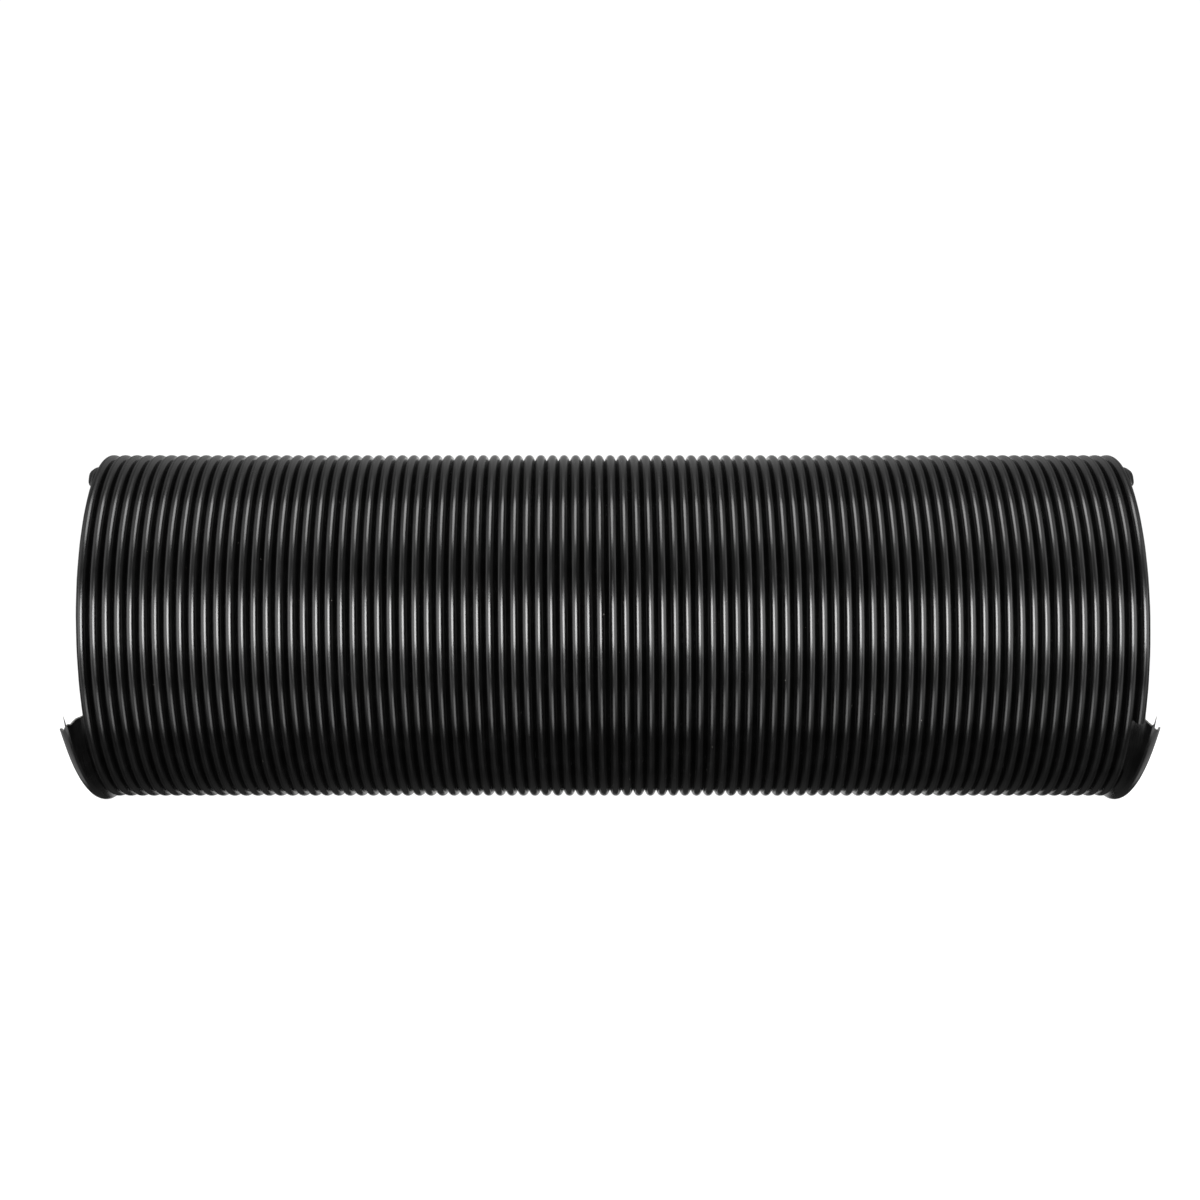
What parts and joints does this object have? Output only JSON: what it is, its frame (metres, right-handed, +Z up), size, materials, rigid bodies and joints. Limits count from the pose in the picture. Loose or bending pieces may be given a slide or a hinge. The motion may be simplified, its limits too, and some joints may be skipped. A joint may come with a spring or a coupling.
{
  "type": "flexible vacuum hose",
  "caption": "Short black spiral-ribbed vacuum hose with plain cut ends, closed up like a bellows; it pulls out longer and bends in any direction.",
  "frame": {"origin": "on the surface that the hose lies on, under the middle of the closed hose", "axes": "+X to the right along the hose, +Y away from the front, +Z up"},
  "size_m": [0.2418, 0.08, 0.0808],
  "materials": {
    "hose_wall": "glossy black, slightly worn",
    "end_rib": "glossy black with a torn, matt edge"
  },
  "bodies": {
    "left_end": {"left_end_wall": "hose_wall", "left_tail": "end_rib", "left_stub": "end_rib"},
    "section_01": {"flex_wall_01": "hose_wall"},
    "section_02": {"flex_wall_02": "hose_wall"},
    "section_03": {"flex_wall_03": "hose_wall"},
    "section_04": {"flex_wall_04": "hose_wall"},
    "section_05": {"flex_wall_05": "hose_wall"},
    "section_06": {"flex_wall_06": "hose_wall"},
    "section_07": {"flex_wall_07": "hose_wall"},
    "section_08": {"flex_wall_08": "hose_wall"},
    "section_09": {"flex_wall_09": "hose_wall"},
    "section_10": {"flex_wall_10": "hose_wall"},
    "section_11": {"flex_wall_11": "hose_wall"},
    "section_12": {"flex_wall_12": "hose_wall"},
    "section_13": {"flex_wall_13": "hose_wall"},
    "section_14": {"flex_wall_14": "hose_wall"},
    "section_15": {"flex_wall_15": "hose_wall"},
    "section_16": {"flex_wall_16": "hose_wall"},
    "section_17": {"flex_wall_17": "hose_wall"},
    "section_18": {"flex_wall_18": "hose_wall"},
    "section_19": {"flex_wall_19": "hose_wall"},
    "section_20": {"flex_wall_20": "hose_wall"},
    "section_21": {"flex_wall_21": "hose_wall"},
    "section_22": {"flex_wall_22": "hose_wall"},
    "section_23": {"flex_wall_23": "hose_wall"},
    "section_24": {"flex_wall_24": "hose_wall"},
    "section_25": {"flex_wall_25": "hose_wall"},
    "right_end": {"right_end_wall": "hose_wall", "right_tail": "end_rib", "right_stub": "end_rib"}
  },
  "joints": [
    {"name": "stretch_01", "type": "slide", "parent": "left_end", "child": "section_01", "axis": [1, 0, 0], "range_m": [0, 0.017]},
    {"name": "bend_front_01", "type": "hinge", "parent": "section_01", "child": "section_02", "pos_m": [-0.09315, -0.04, 0.0408], "axis": [0, 0, -1], "range_deg": [0, 12]},
    {"name": "bend_up_01", "type": "hinge", "parent": "section_02", "child": "section_03", "pos_m": [-0.08505, 0, 0.0808], "axis": [0, -1, 0], "range_deg": [0, 12]},
    {"name": "stretch_02", "type": "slide", "parent": "section_03", "child": "section_04", "axis": [1, 0, 0], "range_m": [0, 0.017]},
    {"name": "bend_back_01", "type": "hinge", "parent": "section_04", "child": "section_05", "pos_m": [-0.06885, 0.04, 0.0408], "axis": [0, 0, 1], "range_deg": [0, 12]},
    {"name": "bend_down_01", "type": "hinge", "parent": "section_05", "child": "section_06", "pos_m": [-0.06075, 0, 0.0008], "axis": [0, 1, 0], "range_deg": [0, 12]},
    {"name": "stretch_03", "type": "slide", "parent": "section_06", "child": "section_07", "axis": [1, 0, 0], "range_m": [0, 0.017]},
    {"name": "bend_front_02", "type": "hinge", "parent": "section_07", "child": "section_08", "pos_m": [-0.04455, -0.04, 0.0408], "axis": [0, 0, -1], "range_deg": [0, 12]},
    {"name": "bend_up_02", "type": "hinge", "parent": "section_08", "child": "section_09", "pos_m": [-0.03645, 0, 0.0808], "axis": [0, -1, 0], "range_deg": [0, 12]},
    {"name": "stretch_04", "type": "slide", "parent": "section_09", "child": "section_10", "axis": [1, 0, 0], "range_m": [0, 0.017]},
    {"name": "bend_back_02", "type": "hinge", "parent": "section_10", "child": "section_11", "pos_m": [-0.02025, 0.04, 0.0408], "axis": [0, 0, 1], "range_deg": [0, 12]},
    {"name": "bend_down_02", "type": "hinge", "parent": "section_11", "child": "section_12", "pos_m": [-0.01215, 0, 0.0008], "axis": [0, 1, 0], "range_deg": [0, 12]},
    {"name": "stretch_05", "type": "slide", "parent": "section_12", "child": "section_13", "axis": [1, 0, 0], "range_m": [0, 0.017]},
    {"name": "stretch_06", "type": "slide", "parent": "section_13", "child": "section_14", "axis": [1, 0, 0], "range_m": [0, 0.017]},
    {"name": "bend_front_03", "type": "hinge", "parent": "section_14", "child": "section_15", "pos_m": [0.01215, -0.04, 0.0408], "axis": [0, 0, -1], "range_deg": [0, 12]},
    {"name": "bend_up_03", "type": "hinge", "parent": "section_15", "child": "section_16", "pos_m": [0.02025, 0, 0.0808], "axis": [0, -1, 0], "range_deg": [0, 12]},
    {"name": "stretch_07", "type": "slide", "parent": "section_16", "child": "section_17", "axis": [1, 0, 0], "range_m": [0, 0.017]},
    {"name": "bend_back_03", "type": "hinge", "parent": "section_17", "child": "section_18", "pos_m": [0.03645, 0.04, 0.0408], "axis": [0, 0, 1], "range_deg": [0, 12]},
    {"name": "bend_down_03", "type": "hinge", "parent": "section_18", "child": "section_19", "pos_m": [0.04455, 0, 0.0008], "axis": [0, 1, 0], "range_deg": [0, 12]},
    {"name": "stretch_08", "type": "slide", "parent": "section_19", "child": "section_20", "axis": [1, 0, 0], "range_m": [0, 0.017]},
    {"name": "bend_front_04", "type": "hinge", "parent": "section_20", "child": "section_21", "pos_m": [0.06075, -0.04, 0.0408], "axis": [0, 0, -1], "range_deg": [0, 12]},
    {"name": "bend_up_04", "type": "hinge", "parent": "section_21", "child": "section_22", "pos_m": [0.06885, 0, 0.0808], "axis": [0, -1, 0], "range_deg": [0, 12]},
    {"name": "stretch_09", "type": "slide", "parent": "section_22", "child": "section_23", "axis": [1, 0, 0], "range_m": [0, 0.017]},
    {"name": "bend_back_04", "type": "hinge", "parent": "section_23", "child": "section_24", "pos_m": [0.08505, 0.04, 0.0408], "axis": [0, 0, 1], "range_deg": [0, 12]},
    {"name": "bend_down_04", "type": "hinge", "parent": "section_24", "child": "section_25", "pos_m": [0.09315, 0, 0.0008], "axis": [0, 1, 0], "range_deg": [0, 12]},
    {"name": "stretch_10", "type": "slide", "parent": "section_25", "child": "right_end", "axis": [1, 0, 0], "range_m": [0, 0.017]}
  ],
  "couplings": [
    {"joint": "stretch_02", "follows": "stretch_01", "ratio": 1},
    {"joint": "stretch_03", "follows": "stretch_01", "ratio": 1},
    {"joint": "bend_front_02", "follows": "bend_front_01", "ratio": 1},
    {"joint": "bend_up_02", "follows": "bend_up_01", "ratio": 1},
    {"joint": "stretch_04", "follows": "stretch_01", "ratio": 1},
    {"joint": "bend_back_02", "follows": "bend_back_01", "ratio": 1},
    {"joint": "bend_down_02", "follows": "bend_down_01", "ratio": 1},
    {"joint": "stretch_05", "follows": "stretch_01", "ratio": 1},
    {"joint": "stretch_06", "follows": "stretch_01", "ratio": 1},
    {"joint": "bend_front_03", "follows": "bend_front_01", "ratio": 1},
    {"joint": "bend_up_03", "follows": "bend_up_01", "ratio": 1},
    {"joint": "stretch_07", "follows": "stretch_01", "ratio": 1},
    {"joint": "bend_back_03", "follows": "bend_back_01", "ratio": 1},
    {"joint": "bend_down_03", "follows": "bend_down_01", "ratio": 1},
    {"joint": "stretch_08", "follows": "stretch_01", "ratio": 1},
    {"joint": "bend_front_04", "follows": "bend_front_01", "ratio": 1},
    {"joint": "bend_up_04", "follows": "bend_up_01", "ratio": 1},
    {"joint": "stretch_09", "follows": "stretch_01", "ratio": 1},
    {"joint": "bend_back_04", "follows": "bend_back_01", "ratio": 1},
    {"joint": "bend_down_04", "follows": "bend_down_01", "ratio": 1},
    {"joint": "stretch_10", "follows": "stretch_01", "ratio": 1}
  ]
}
